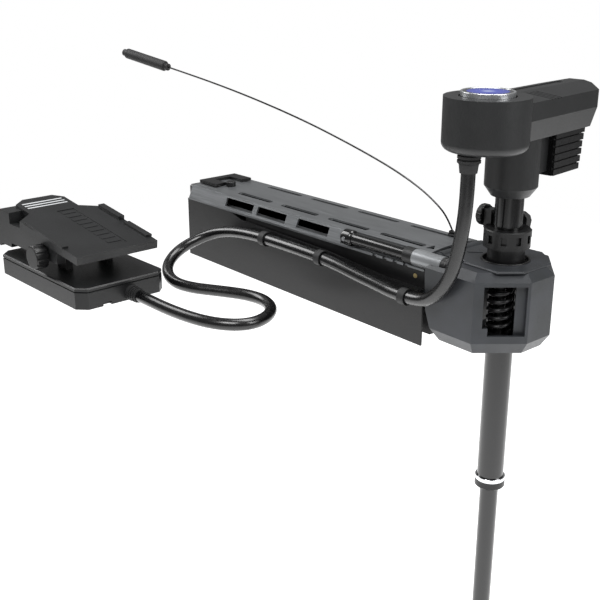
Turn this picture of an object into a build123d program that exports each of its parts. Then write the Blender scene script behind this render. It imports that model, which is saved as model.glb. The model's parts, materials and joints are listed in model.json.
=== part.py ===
"""Bow-mount trolling motor with electric steering, a stowing nose and a foot pedal on a cable.

Millimetres. The origin is the centre of the deck bolt pattern, on the deck. +X points to the
bow, +Y across the deck, away from the foot pedal, and +Z up.
"""
from build123d import *
import math
import os

os.makedirs("parts", exist_ok=True)

# ---- Driving sizes ----------------------------------------------------------------------
# Deck mount
MOUNT_REAR_X = -300.0
MOUNT_TOP = 142.0
FOOT_HEIGHT = 6.0
FOOT_RADIUS = 14.0
PLATE_THICK = 6.0
FRAME_HALF = 46.0
FRAME_WALL = 4.0
FRAME_TOP = 112.0
BOLT_HOLE_R = 4.25
BOLT_SPACING_X = 440.0
BOLT_SPACING_Y = 64.0
RAIL_HALF = 56.0
RAIL_CROWN = 4.0
RAIL_THICK = 3.0
FLANGE_HALF = 66.0
SLOT_LENGTH = 94.0
SLOT_WIDTH = 10.0
SLOT_ROW_Y = 35.0
SLOT_PITCH = 121.5
SLOT_COUNT = 4
SLOT_LAST_X = 229.0
SKIRT_REAR_HALF = 60.0
SKIRT_FRONT_HALF = 80.0
SKIRT_FRONT_X = 314.0
SKIRT_WALL = 3.0
# Hinge that stows the motor
PIVOT_X = 315.0
PIVOT_Z = 130.0
PIN_R = 5.0
CHEEK_R = 11.0
CHEEK_THICK = 6.0
STRUT_Y = -66.0
STRUT_Z = 131.0
STRUT_REAR_X = 142.0
STRUT_FRONT_X = 350.0
STRUT_TUBE_R = 9.5
STRUT_SLEEVE_R = 13.0
# Nose
NOSE_REAR_X = 320.0
NOSE_FACET_X = 415.0
NOSE_FRONT_X = 468.0
NOSE_REAR_HALF = 84.0
NOSE_HALF = 88.0
NOSE_FRONT_HALF = 27.0
NOSE_BOTTOM = 17.0
NOSE_SPLIT_Z = 36.0
NOSE_WALL = 5.0
TOP_PLATE_THICK = 3.0
WINDOW_LOW = 47.0
WINDOW_HIGH = 121.0
SPRING_X = 423.0
SPRING_Y = 37.4
SPRING_MEAN_R = 15.5
SPRING_WIRE_R = 3.0
SPRING_TURNS = 6
# Shaft
SHAFT_X = 400.0
TUBE_R = 20.5
TUBE_WALL = 2.5
TUBE_BOTTOM = -218.0
TUBE_TOP = 318.0
INNER_R = 14.3
INNER_WALL = 2.6
LOWER_AXIS_Z = -858.0
RING_R = 23.3
# Running clearance on the radius
RUN = 0.06
# Free gap between pieces that move past each other
GAP = 0.4
# Depth collar
COLLAR_LOW_R = 27.0
COLLAR_R = 34.0
COLLAR_STEP_Z = 162.0
COLLAR_TOP = 189.0
# Head
HEAD_YAW = 5.7
DISC_R = 59.0
DISC_BACK = 74.0
HEAD_TOP = 384.0
HEAD_SEAM = 350.6
DISC_BOTTOM = 311.0
NECK_R = 38.0
NECK_BOTTOM = 237.0
BOX_HALF = 49.0
BOX_LENGTH = 142.0
BOX_NOSE = 165.0
BOX_BOTTOM = 322.0
BOX_EDGE_DROP = 11.0
HEAD_WALL = 3.5
BLOCK_HALF = 30.0
BLOCK_START = 62.0
BLOCK_END = 150.0
BLOCK_BOTTOM = 258.0
INDICATOR_R = 33.0
# Steering gears
GEAR_MODULE = 2.0
WHEEL_TEETH = 33
PINION_TEETH = 11
# Lower unit
POD_R = 45.0
POD_HALF_LENGTH = 105.0
POD_WALL = 4.0
PROP_R = 122.0
# Foot pedal
PEDAL_REAR_X = -440.0
PEDAL_FRONT_X = -148.0
PEDAL_NEAR_Y = -396.0
PEDAL_FAR_Y = -225.0
PEDAL_RIM_Z = 32.0
PEDAL_TOP_Z = 40.0
PEDAL_PIVOT_X = -275.0
PEDAL_PIVOT_Z = 70.0
PAD_HEEL_X = -440.0
PAD_TOE_X = -160.0
PAD_HEEL_Z = 129.0
PAD_TOE_Z = 92.0
PAD_THICK = 14.0
PAD_HALF = 84.0
# Cords
CABLE_R = 10.0
PULL_WIRE_R = 1.5

# ---- Worked-out places --------------------------------------------------------------------
KNUCKLE_R = MOUNT_TOP - PIVOT_Z
RAIL_FRONT_X = PIVOT_X - KNUCKLE_R - 0.8
PLATE_TOP = FOOT_HEIGHT + PLATE_THICK
NOSE_SHELL_TOP = MOUNT_TOP - TOP_PLATE_THICK
PEDAL_MID_Y = (PEDAL_NEAR_Y + PEDAL_FAR_Y) / 2
LOW = (Align.CENTER, Align.CENTER, Align.MIN)
SIDES = (-1, 1)


def finish(piece, name):
    """Label a finished piece and write it to its STEP file."""
    piece.part.label = name
    export_step(piece.part, f"parts/{name}.step")


def finish_set(name, *pieces):
    """Write several pieces of one kind as one node."""
    with BuildPart() as group:
        for piece in pieces:
            add(piece.part)
    finish(group, name)


def block(x0, x1, y0, y1, z0, z1, mode=Mode.ADD):
    """Box between two corners."""
    with Locations(((x0 + x1) / 2, (y0 + y1) / 2, (z0 + z1) / 2)):
        Box(x1 - x0, y1 - y0, z1 - z0, mode=mode)


def rod(start, axis, radius, length, mode=Mode.ADD):
    """Cylinder from a start point along an axis."""
    with Locations(Plane(origin=start, z_dir=axis)):
        Cylinder(radius, length, align=LOW, mode=mode)


def skirt_half(x):
    """Half width of the skirts at a place along the mount."""
    share = (x - MOUNT_REAR_X) / (SKIRT_FRONT_X - MOUNT_REAR_X)
    return SKIRT_REAR_HALF + (SKIRT_FRONT_HALF - SKIRT_REAR_HALF) * share


# ---- Deck mount ---------------------------------------------------------------------------
BOLT_PLACES = GridLocations(BOLT_SPACING_X, BOLT_SPACING_Y, 2, 2)
bolt_points = [(spot.position.X, spot.position.Y) for spot in BOLT_PLACES]

with BuildPart() as deck_feet:
    for x, y in bolt_points:
        rod((x, y, 0), (0, 0, 1), FOOT_RADIUS, FOOT_HEIGHT)
        rod((x, y, 0), (0, 0, 1), BOLT_HOLE_R, FOOT_HEIGHT, Mode.SUBTRACT)
finish(deck_feet, "deck_feet")

with BuildPart() as base_frame:
    block(MOUNT_REAR_X, RAIL_FRONT_X, -FRAME_HALF, FRAME_HALF, FOOT_HEIGHT, PLATE_TOP)
    for side in SIDES:
        inner = side * (FRAME_HALF - FRAME_WALL)
        outer = side * FRAME_HALF
        block(MOUNT_REAR_X, RAIL_FRONT_X, min(inner, outer), max(inner, outer), PLATE_TOP, FRAME_TOP)
    for x, y in bolt_points:
        rod((x, y, FOOT_HEIGHT), (0, 0, 1), BOLT_HOLE_R, PLATE_THICK, Mode.SUBTRACT)
finish(base_frame, "base_frame")

with BuildPart() as hinge_cheeks:
    for side in SIDES:
        low_y = min(side * FRAME_HALF, side * (FRAME_HALF + CHEEK_THICK))
        cheek_plane = Plane(origin=(0, low_y, 0), x_dir=(1, 0, 0), z_dir=(0, -1, 0))
        with BuildSketch(cheek_plane):
            with BuildLine():
                Polyline((RAIL_FRONT_X - 60, PIVOT_Z - 60), (RAIL_FRONT_X - 60, PIVOT_Z - 10),
                         (RAIL_FRONT_X - 1, PIVOT_Z + 3), (PIVOT_X, PIVOT_Z + CHEEK_R),
                         (PIVOT_X, PIVOT_Z - CHEEK_R),
                         (RAIL_FRONT_X - 6, PIVOT_Z - 60), close=True)
            make_face()
            with Locations((PIVOT_X, PIVOT_Z)):
                Circle(CHEEK_R)
                Circle(PIN_R, mode=Mode.SUBTRACT)
        extrude(amount=-CHEEK_THICK)
finish(hinge_cheeks, "hinge_cheeks")

with BuildPart() as pivot_pin:
    pin_half = FRAME_HALF + CHEEK_THICK
    rod((PIVOT_X, -pin_half, PIVOT_Z), (0, 1, 0), PIN_R, 2 * pin_half)

# The rail is one extrusion: a crowned top, sloping flanges and a lip that sits on the frame.
with BuildPart() as top_rail:
    with BuildSketch(Plane(origin=(MOUNT_REAR_X, 0, 0), x_dir=(0, 1, 0), z_dir=(1, 0, 0))):
        shoulder = MOUNT_TOP - RAIL_CROWN
        lip_z = FRAME_TOP + RAIL_THICK
        with BuildLine():
            ThreePointArc((-RAIL_HALF, shoulder), (0, MOUNT_TOP), (RAIL_HALF, shoulder))
            Polyline((RAIL_HALF, shoulder), (FLANGE_HALF, lip_z), (FLANGE_HALF, FRAME_TOP),
                     (FRAME_HALF - FRAME_WALL, FRAME_TOP), (FRAME_HALF - FRAME_WALL, lip_z),
                     (FLANGE_HALF - RAIL_THICK, lip_z), (RAIL_HALF - RAIL_THICK, shoulder - RAIL_THICK))
            ThreePointArc((RAIL_HALF - RAIL_THICK, shoulder - RAIL_THICK), (0, MOUNT_TOP - RAIL_THICK),
                          (RAIL_THICK - RAIL_HALF, shoulder - RAIL_THICK))
            Polyline((RAIL_THICK - RAIL_HALF, shoulder - RAIL_THICK), (RAIL_THICK - FLANGE_HALF, lip_z),
                     (FRAME_WALL - FRAME_HALF, lip_z), (FRAME_WALL - FRAME_HALF, FRAME_TOP),
                     (-FLANGE_HALF, FRAME_TOP), (-FLANGE_HALF, lip_z), (-RAIL_HALF, shoulder))
        make_face()
    extrude(amount=RAIL_FRONT_X - MOUNT_REAR_X)
    slot_xs = [SLOT_LAST_X - index * SLOT_PITCH for index in range(SLOT_COUNT)]
    with BuildSketch(Plane.XY.offset(MOUNT_TOP + 1)):
        with Locations(*[(x, side * SLOT_ROW_Y) for x in slot_xs for side in SIDES]):
            SlotOverall(SLOT_LENGTH, SLOT_WIDTH)
    extrude(amount=-RAIL_THICK - RAIL_CROWN - 2, mode=Mode.SUBTRACT)
    # Windows in both flanges
    for x in (-150, -60, 48):
        for side in SIDES:
            low_y = min(side * (RAIL_HALF - 8), side * (FLANGE_HALF + 5))
            block(x - 39, x + 39, low_y, low_y + FLANGE_HALF - RAIL_HALF + 13, 119, 134, Mode.SUBTRACT)
    # Bay for the gas strut, and the slots for the hinge cheeks
    block(STRUT_REAR_X - 22, RAIL_FRONT_X + 1, -FLANGE_HALF - 5, STRUT_Y + STRUT_SLEEVE_R + 0.6,
          STRUT_Z - STRUT_SLEEVE_R - 1.8, MOUNT_TOP + 5, Mode.SUBTRACT)
    for side in SIDES:
        low_y = min(side * (FRAME_HALF - GAP), side * (FRAME_HALF + CHEEK_THICK + GAP))
        block(RAIL_FRONT_X - 62, RAIL_FRONT_X + 1, low_y, low_y + CHEEK_THICK + 2 * GAP,
              FRAME_TOP - 1, PIVOT_Z + 6, Mode.SUBTRACT)
    # Lug that holds the strut's pin
    lug_y = STRUT_Y + STRUT_SLEEVE_R + 0.6
    block(STRUT_REAR_X - 7, STRUT_REAR_X + 7, lug_y, lug_y + 6, lip_z, MOUNT_TOP - RAIL_CROWN - 1)
    rod((STRUT_REAR_X, lug_y - 1, STRUT_Z), (0, 1, 0), 3.5, 8, Mode.SUBTRACT)
    # Notches along the edge under the strut
    for index in range(4):
        block(194 + 22 * index, 203 + 22 * index, -FLANGE_HALF - 5, -FLANGE_HALF + 4,
              FRAME_TOP - 1, lip_z + 6, Mode.SUBTRACT)
    # Triangular sight hole at the front
    with BuildSketch(Plane.XY.offset(MOUNT_TOP + 1)):
        with BuildLine():
            Polyline((282, -42), (296, -38), (286, -24), close=True)
        make_face()
    extrude(amount=-8, mode=Mode.SUBTRACT)
finish(top_rail, "top_rail")

with BuildPart() as rail_end_cap:
    block(MOUNT_REAR_X - 12, MOUNT_REAR_X, -RAIL_HALF, RAIL_HALF, PLATE_TOP + 88, MOUNT_TOP - 4)
    block(MOUNT_REAR_X - 12, MOUNT_REAR_X, -SKIRT_REAR_HALF + 4, SKIRT_REAR_HALF - 4,
          PLATE_TOP, PLATE_TOP + 88)
    fillet(rail_end_cap.edges().filter_by(Axis.Z).group_by(Axis.X)[0], 4)
    chamfer(rail_end_cap.faces().sort_by(Axis.Z)[-1].edges().sort_by(Axis.X)[0], 3)
finish(rail_end_cap, "rail_end_cap")

# Raised latch block at the rear of the rail, with its thumb knob
LATCH_X = -232.0
with BuildPart() as stow_latch:
    for side in SIDES:
        block(MOUNT_REAR_X + 4, LATCH_X - 12, side * 30 - 12, side * 30 + 12, MOUNT_TOP - 0.3, MOUNT_TOP + 5)
    block(MOUNT_REAR_X + 4, MOUNT_REAR_X + 20, -40, 40, MOUNT_TOP + 0.2, MOUNT_TOP + 5)
finish(stow_latch, "stow_rest")
with BuildPart() as rear_knob:
    rod((LATCH_X, -16, MOUNT_TOP), (0, 0, 1), 9, 9)
    fillet(rear_knob.edges().group_by(Axis.Z)[-1], 2)
finish(rear_knob, "rear_knob")

# Side skirts: thin shells that stand on the deck and widen to the front
skirts = []
for side in SIDES:
    with BuildPart() as skirt:
        outer_rear, outer_front = SKIRT_REAR_HALF, SKIRT_FRONT_HALF
        with BuildSketch(Plane.XY):
            with BuildLine():
                Polyline((MOUNT_REAR_X - 12, side * outer_rear), (SKIRT_FRONT_X, side * outer_front),
                         (SKIRT_FRONT_X, side * (outer_front - SKIRT_WALL)),
                         (MOUNT_REAR_X - 12, side * (outer_rear - SKIRT_WALL)), close=True)
            make_face()
        extrude(amount=FRAME_TOP)
        # Ledge that rests on the flange of the frame
        with BuildSketch(Plane.XY.offset(84)):
            with BuildLine():
                Polyline((MOUNT_REAR_X, side * (outer_rear - 1)), (RAIL_FRONT_X - 4, side * (outer_front - 2)),
                         (RAIL_FRONT_X - 4, side * (FRAME_HALF + CHEEK_THICK + GAP)),
                         (RAIL_FRONT_X - 66, side * (FRAME_HALF + CHEEK_THICK + GAP)),
                         (RAIL_FRONT_X - 66, side * FRAME_HALF), (MOUNT_REAR_X, side * FRAME_HALF), close=True)
            make_face()
        extrude(amount=-3)
        # Top edge that dips to the front, and front edge that follows the nose
        with BuildSketch(Plane(origin=(0, 0, 0), x_dir=(1, 0, 0), z_dir=(0, -1, 0))):
            with BuildLine():
                Polyline((MOUNT_REAR_X - 20, 111), (-170, 111), (-140, 103), (100, 99), (290, 86),
                         (312, 82), (313, 78), (SKIRT_FRONT_X + 3, 60), (330, 20), (330, 140),
                         (MOUNT_REAR_X - 20, 140), close=True)
            make_face()
        extrude(amount=120, both=True, mode=Mode.SUBTRACT)
    skirts.append(skirt)
finish_set("side_skirts", *skirts)

# Recessed side panels between the rail and the skirts
panels = []
for side in SIDES:
    with BuildPart() as panel:
        low_y = min(side * (FLANGE_HALF - 4), side * (FLANGE_HALF - 7))
        block(-130, RAIL_FRONT_X - 2, low_y, low_y + 3, 84, FRAME_TOP)
        low_y = min(side * (FRAME_HALF + CHEEK_THICK + GAP), side * (FLANGE_HALF - 4))
        block(RAIL_FRONT_X - 30, RAIL_FRONT_X - 22, low_y,
              low_y + FLANGE_HALF - 4 - FRAME_HALF - CHEEK_THICK - GAP, 90, 106)
        rod((RAIL_FRONT_X - 20, side * (FLANGE_HALF - 2), 100), (0, -side, 0), 4, 8, Mode.SUBTRACT)
    panels.append(panel)
finish_set("side_panels", *panels)
with BuildPart() as panel_screws:
    for side in SIDES:
        rod((RAIL_FRONT_X - 20, side * (FLANGE_HALF - 3.4), 100), (0, -side, 0), 3.7, 3.4)
finish(panel_screws, "panel_screws")

# ---- Gas strut ----------------------------------------------------------------------------
STRUT_PIN_R = 3.5
STRUT_RING_X = 268.0
STRUT_SLEEVE_X = 286.0
STRUT_SLEEVE_END_X = 342.0
STRUT_SLEEVE_WALL = 3.0
STRUT_TUBE_END_X = 300.0
with BuildPart() as strut_pin:
    rod((STRUT_REAR_X, STRUT_Y + 20, STRUT_Z), (0, -1, 0), STRUT_PIN_R, 34)
finish_set("hinge_pins", pivot_pin, strut_pin)
with BuildPart() as strut_tube:
    rod((STRUT_REAR_X - 11, STRUT_Y, STRUT_Z), (1, 0, 0), STRUT_SLEEVE_R, 24)
    fillet(strut_tube.edges(), 5)
    rod((STRUT_REAR_X + 10, STRUT_Y, STRUT_Z), (1, 0, 0), STRUT_TUBE_R,
        STRUT_TUBE_END_X - STRUT_REAR_X - 10)
    rod((STRUT_REAR_X, STRUT_Y - 20, STRUT_Z), (0, 1, 0), STRUT_PIN_R + RUN, 40, Mode.SUBTRACT)
finish(strut_tube, "strut_tube")
with BuildPart() as strut_sleeve:
    rod((STRUT_SLEEVE_X, STRUT_Y, STRUT_Z), (1, 0, 0), STRUT_SLEEVE_R, STRUT_SLEEVE_END_X - STRUT_SLEEVE_X)
    rod((STRUT_SLEEVE_X - 1, STRUT_Y, STRUT_Z), (1, 0, 0), STRUT_TUBE_R + RUN,
        STRUT_SLEEVE_END_X - STRUT_SLEEVE_WALL - STRUT_SLEEVE_X + 1, Mode.SUBTRACT)
finish(strut_sleeve, "strut_sleeve")
with BuildPart() as strut_ring:
    rod((STRUT_RING_X, STRUT_Y, STRUT_Z), (1, 0, 0), STRUT_SLEEVE_R + 0.4, STRUT_SLEEVE_X - STRUT_RING_X)
    rod((STRUT_RING_X - 1, STRUT_Y, STRUT_Z), (1, 0, 0), STRUT_TUBE_R + RUN,
        STRUT_SLEEVE_X - STRUT_RING_X + 2, Mode.SUBTRACT)
with BuildPart() as strut_cap:
    rod((STRUT_SLEEVE_END_X, STRUT_Y, STRUT_Z), (1, 0, 0), STRUT_SLEEVE_R - 0.6,
        STRUT_FRONT_X + 2 - STRUT_SLEEVE_END_X)
    fillet(strut_cap.edges().group_by(Axis.X)[-1], 4)
finish_set("strut_ends", strut_ring, strut_cap)

# ---- Nose ---------------------------------------------------------------------------------
FACET_LENGTH = math.hypot(NOSE_FRONT_X - NOSE_FACET_X, NOSE_HALF - NOSE_FRONT_HALF)
STRUT_BAY_X = STRUT_FRONT_X + 16


def nose_outline(inset):
    """Plan of the nose: straight sides, two 45 degree facets and a flat front."""
    Polygon((NOSE_REAR_X + inset, -NOSE_REAR_HALF + inset), (NOSE_FACET_X - inset * 0.4, -NOSE_HALF + inset),
            (NOSE_FRONT_X - inset, -NOSE_FRONT_HALF + inset * 0.4),
            (NOSE_FRONT_X - inset, NOSE_FRONT_HALF - inset * 0.4),
            (NOSE_FACET_X - inset * 0.4, NOSE_HALF - inset),
            (NOSE_REAR_X + inset, NOSE_REAR_HALF - inset), align=None)


def facet_block(side, along, depth, height, mode=Mode.ADD):
    """Box that lies along a facet: spans along it, inwards from it, and in height."""
    run = (NOSE_FRONT_X - NOSE_FACET_X, side * (NOSE_FRONT_HALF - NOSE_HALF), 0)
    with Locations(Plane(origin=(NOSE_FACET_X, side * NOSE_HALF, 0), x_dir=run, z_dir=(0, 0, 1))):
        with Locations(((along[0] + along[1]) / 2, -side * (depth[0] + depth[1]) / 2,
                        (height[0] + height[1]) / 2)):
            Box(along[1] - along[0], depth[1] - depth[0], height[1] - height[0], mode=mode)


# The lower rear corner is cut back along the line of the skirts
with BuildSketch(Plane(origin=(0, 0, 0), x_dir=(1, 0, 0), z_dir=(0, -1, 0))) as nose_corner:
    Polygon((310, 112), (NOSE_REAR_X, 112), (NOSE_REAR_X + 4, 62), (NOSE_REAR_X + 13, 38),
            (NOSE_REAR_X + 28, 10), (310, 10), align=None)

with BuildPart() as nose_housing:
    with BuildSketch(Plane.XY.offset(NOSE_SPLIT_Z)):
        nose_outline(0)
    extrude(amount=NOSE_SHELL_TOP - 12 - NOSE_SPLIT_Z)
    with BuildSketch(Plane.XY.offset(NOSE_SHELL_TOP - 12)):
        nose_outline(0)
    extrude(amount=12, taper=45)
    with BuildSketch(Plane.XY.offset(NOSE_SPLIT_Z)):
        nose_outline(NOSE_WALL)
    extrude(amount=NOSE_SHELL_TOP - 16 - NOSE_SPLIT_Z, mode=Mode.SUBTRACT)
    with BuildSketch(Plane.XY.offset(NOSE_SHELL_TOP - 16)):
        nose_outline(NOSE_WALL)
    extrude(amount=10, taper=45, mode=Mode.SUBTRACT)
    extrude(nose_corner.sketch, amount=120, both=True, mode=Mode.SUBTRACT)
    # Centre knuckle of the stow hinge, and its web
    knuckle_half = FRAME_HALF - GAP
    rod((PIVOT_X, -knuckle_half, PIVOT_Z), (0, 1, 0), KNUCKLE_R, 2 * knuckle_half)
    block(PIVOT_X, NOSE_REAR_X + 20, -knuckle_half, knuckle_half, PIVOT_Z, MOUNT_TOP - TOP_PLATE_THICK)
    rod((PIVOT_X, -knuckle_half - 1, PIVOT_Z), (0, 1, 0), PIN_R + RUN, 2 * knuckle_half + 2, Mode.SUBTRACT)
    # Room for the cheeks on both sides, and for the strut on the near side
    for side in SIDES:
        low_y = min(side * (FRAME_HALF - GAP), side * (FRAME_HALF + CHEEK_THICK + GAP))
        block(NOSE_REAR_X - 1, PIVOT_X + 24, low_y, low_y + CHEEK_THICK + 2 * GAP, 66, MOUNT_TOP + 2,
              Mode.SUBTRACT)
    block(NOSE_REAR_X - 1, STRUT_BAY_X, STRUT_Y - STRUT_SLEEVE_R - 1, -FRAME_HALF - CHEEK_THICK,
          STRUT_Z - STRUT_SLEEVE_R - 6, MOUNT_TOP + 2, Mode.SUBTRACT)
    # Shaft opening in the top deck
    rod((SHAFT_X, 0, NOSE_SHELL_TOP - 20), (0, 0, 1), 33, 24, Mode.SUBTRACT)
    for side in SIDES:
        facet_block(side, (15, 76.5), (-3, NOSE_WALL + 2), (WINDOW_LOW + 12, WINDOW_HIGH), Mode.SUBTRACT)
        facet_block(side, (23, 76.5), (-3, NOSE_WALL + 2), (WINDOW_LOW, WINDOW_HIGH), Mode.SUBTRACT)
        # Flat guard wall beside the spring
        facet_block(side, (62, 79), (9, 12), (NOSE_SPLIT_Z, NOSE_SHELL_TOP - 8))
finish(nose_housing, "nose_housing")

with BuildPart() as nose_lower:
    with BuildSketch(Plane.XY.offset(NOSE_SPLIT_Z)):
        nose_outline(0)
    extrude(amount=-(NOSE_SPLIT_Z - NOSE_BOTTOM), taper=32)
    with BuildSketch(Plane.XY.offset(NOSE_SPLIT_Z)):
        nose_outline(NOSE_WALL)
    extrude(amount=-(NOSE_SPLIT_Z - NOSE_BOTTOM - 5), taper=32, mode=Mode.SUBTRACT)
    extrude(nose_corner.sketch, amount=120, both=True, mode=Mode.SUBTRACT)
    rod((SHAFT_X, 0, NOSE_BOTTOM - 3), (0, 0, 1), 33, 14)
    rod((SHAFT_X, 0, NOSE_BOTTOM - 4), (0, 0, 1), 28, 18, Mode.SUBTRACT)
    with Locations(*[(x, side * 58, NOSE_BOTTOM) for x in (366, 392) for side in SIDES]):
        Cylinder(5, 8)
finish(nose_lower, "nose_lower")

with BuildPart() as nose_top_plate:
    with BuildSketch(Plane.XY.offset(NOSE_SHELL_TOP)):
        with BuildLine():
            Polyline((338, -50), (366, -51), (370, -58), (432, -61),
                     (457, -32), (457, 32), (432, 61), (368, 58),
                     (338, 53), close=True)
        make_face()
        with Locations((SHAFT_X, 0)):
            Circle(36, mode=Mode.SUBTRACT)
    extrude(amount=TOP_PLATE_THICK)
    chamfer(nose_top_plate.faces().sort_by(Axis.Z)[-1].outer_wire().edges(), 1.5)
    # Rib in the shape of an arrow that points along the mount
    with BuildSketch(Plane.XY.offset(MOUNT_TOP)):
        with BuildLine():
            Polyline((342, 12), (356, -2), (342, -16), (345, -16), (360, -2), (345, 12), close=True)
        make_face()
    extrude(amount=0.8)
finish(nose_top_plate, "nose_top_plate")

with BuildPart() as guide_ring:
    rod((SHAFT_X, 0, NOSE_SHELL_TOP), (0, 0, 1), 36, 4.5)
    rod((SHAFT_X, 0, NOSE_SHELL_TOP - 1), (0, 0, 1), 33, 8, Mode.SUBTRACT)
    fillet(guide_ring.edges().group_by(Axis.Z)[-1], 0.8)
finish(guide_ring, "guide_ring")

with BuildPart() as shaft_bushings:
    rod((SHAFT_X, 0, 127), (0, 0, 1), 33, 9)
    rod((SHAFT_X, 0, NOSE_BOTTOM - 3), (0, 0, 1), 28, 17)
    rod((SHAFT_X, 0, 0), (0, 0, 1), TUBE_R + RUN, 160, Mode.SUBTRACT)
finish(shaft_bushings, "shaft_bushings")

SPRING_LOW = NOSE_SPLIT_Z + 8
SPRING_HIGH = 124.0
with BuildPart() as spring_posts:
    for side in SIDES:
        rod((SPRING_X, side * SPRING_Y, NOSE_BOTTOM + 5), (0, 0, 1), 8, NOSE_SHELL_TOP - 11 - NOSE_BOTTOM)
        rod((SPRING_X, side * SPRING_Y, SPRING_LOW - 4), (0, 0, 1), 18, 4)
        rod((SPRING_X, side * SPRING_Y, SPRING_HIGH), (0, 0, 1), 18, 3)
finish(spring_posts, "spring_posts")

with BuildPart() as breakaway_springs:
    spring_height = SPRING_HIGH - SPRING_LOW - 2 * SPRING_WIRE_R - 0.6
    for side in SIDES:
        with BuildLine() as coil:
            Helix(spring_height / SPRING_TURNS, spring_height, SPRING_MEAN_R,
                  center=(SPRING_X, side * SPRING_Y, SPRING_LOW + SPRING_WIRE_R + 0.3))
        with BuildSketch(Plane(origin=coil.line @ 0, z_dir=coil.line % 0)):
            Circle(SPRING_WIRE_R)
        sweep(path=coil.line, is_frenet=True)
finish(breakaway_springs, "breakaway_springs")

# Depth collar that grips the outer tube above the nose
with BuildPart() as depth_collar:
    rod((SHAFT_X, 0, 136.5), (0, 0, 1), COLLAR_LOW_R, COLLAR_STEP_Z - 136.5)
    rod((SHAFT_X, 0, COLLAR_STEP_Z), (0, 0, 1), COLLAR_R, COLLAR_TOP - COLLAR_STEP_Z)
    chamfer(depth_collar.edges().group_by(Axis.Z)[-1], 1.5)
    with Locations((SHAFT_X, 0, COLLAR_STEP_Z + 14)):
        with PolarLocations(COLLAR_R - 1.5, 10, start_angle=12):
            Box(5, 8, 12, mode=Mode.SUBTRACT)
    # Boss for the clamp screw on the stern side, and ears for the cam lever on the far side
    block(SHAFT_X - 37, SHAFT_X - 24, -9, 9, COLLAR_TOP - 6, COLLAR_TOP + 22)
    block(SHAFT_X - 10, SHAFT_X - 6, COLLAR_R - 4, COLLAR_R + 12, COLLAR_STEP_Z + 6, COLLAR_STEP_Z + 18)
    block(SHAFT_X + 6, SHAFT_X + 10, COLLAR_R - 4, COLLAR_R + 12, COLLAR_STEP_Z + 6, COLLAR_STEP_Z + 18)
    rod((SHAFT_X - 11, COLLAR_R + 6, COLLAR_STEP_Z + 12), (1, 0, 0), 2.5 + RUN, 22, Mode.SUBTRACT)
    rod((SHAFT_X - 40, 0, COLLAR_TOP + 11), (1, 0, 0), 4 + RUN, 18, Mode.SUBTRACT)
    rod((SHAFT_X, 0, 130), (0, 0, 1), TUBE_R + GAP, 90, Mode.SUBTRACT)
finish(depth_collar, "depth_collar")

with BuildPart() as clamp_knob:
    rod((SHAFT_X - 48, 0, COLLAR_TOP + 11), (1, 0, 0), 16, 10)
    fillet(clamp_knob.edges(), 2)
    with Locations(Plane(origin=(SHAFT_X - 43, 0, COLLAR_TOP + 11), z_dir=(1, 0, 0))):
        with PolarLocations(17, 10):
            Cylinder(2.4, 14, mode=Mode.SUBTRACT)
    rod((SHAFT_X - 40, 0, COLLAR_TOP + 11), (1, 0, 0), 4, 18)
finish(clamp_knob, "clamp_knob")

with BuildPart() as cam_lever:
    with BuildSketch(Plane(origin=(SHAFT_X - 5.5, 0, 0), x_dir=(0, 1, 0), z_dir=(1, 0, 0))):
        with Locations((COLLAR_R + 6, COLLAR_STEP_Z + 12)):
            Circle(5.2)
        with BuildLine():
            Polyline((COLLAR_R + 2, COLLAR_STEP_Z + 14), (COLLAR_R + 3, COLLAR_STEP_Z + 34),
                     (COLLAR_R - 4, COLLAR_STEP_Z + 42), (COLLAR_R - 1, COLLAR_STEP_Z + 46),
                     (COLLAR_R + 11, COLLAR_STEP_Z + 38), (COLLAR_R + 15, COLLAR_STEP_Z + 30),
                     (COLLAR_R + 11, COLLAR_STEP_Z + 12), close=True)
        make_face()
    extrude(amount=11)
    rod((SHAFT_X - 10, COLLAR_R + 6, COLLAR_STEP_Z + 12), (1, 0, 0), 2.5, 20)
finish(cam_lever, "cam_lever")

# ---- Shaft --------------------------------------------------------------------------------
with BuildPart() as outer_tube:
    rod((SHAFT_X, 0, TUBE_BOTTOM), (0, 0, 1), TUBE_R, TUBE_TOP - TUBE_BOTTOM)
    rod((SHAFT_X, 0, TUBE_BOTTOM), (0, 0, 1), TUBE_R - TUBE_WALL, TUBE_TOP - TUBE_BOTTOM, Mode.SUBTRACT)
finish(outer_tube, "outer_tube")
with BuildPart() as stop_ring:
    rod((SHAFT_X, 0, TUBE_BOTTOM), (0, 0, 1), RING_R, 7)
    rod((SHAFT_X, 0, TUBE_BOTTOM), (0, 0, 1), TUBE_R, 7, Mode.SUBTRACT)
    fillet(stop_ring.edges().filter_by(GeomType.CIRCLE).sort_by(SortBy.RADIUS)[-2:], 1)
finish(stop_ring, "stop_ring")
with BuildPart() as end_collar:
    rod((SHAFT_X, 0, TUBE_BOTTOM - 12), (0, 0, 1), RING_R, 12)
    rod((SHAFT_X, 0, TUBE_BOTTOM - 12), (0, 0, 1), INNER_R + GAP, 12, Mode.SUBTRACT)
    chamfer(end_collar.edges().filter_by(GeomType.CIRCLE).group_by(Axis.Z)[0].sort_by(SortBy.RADIUS)[-1], 2)
finish(end_collar, "end_collar")
with BuildPart() as inner_bushings:
    for z in (TUBE_BOTTOM + 2, TUBE_TOP - 30):
        rod((SHAFT_X, 0, z), (0, 0, 1), TUBE_R - TUBE_WALL, 26)
    rod((SHAFT_X, 0, TUBE_BOTTOM), (0, 0, 1), INNER_R + RUN, TUBE_TOP - TUBE_BOTTOM, Mode.SUBTRACT)
finish(inner_bushings, "inner_bushings")

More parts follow.
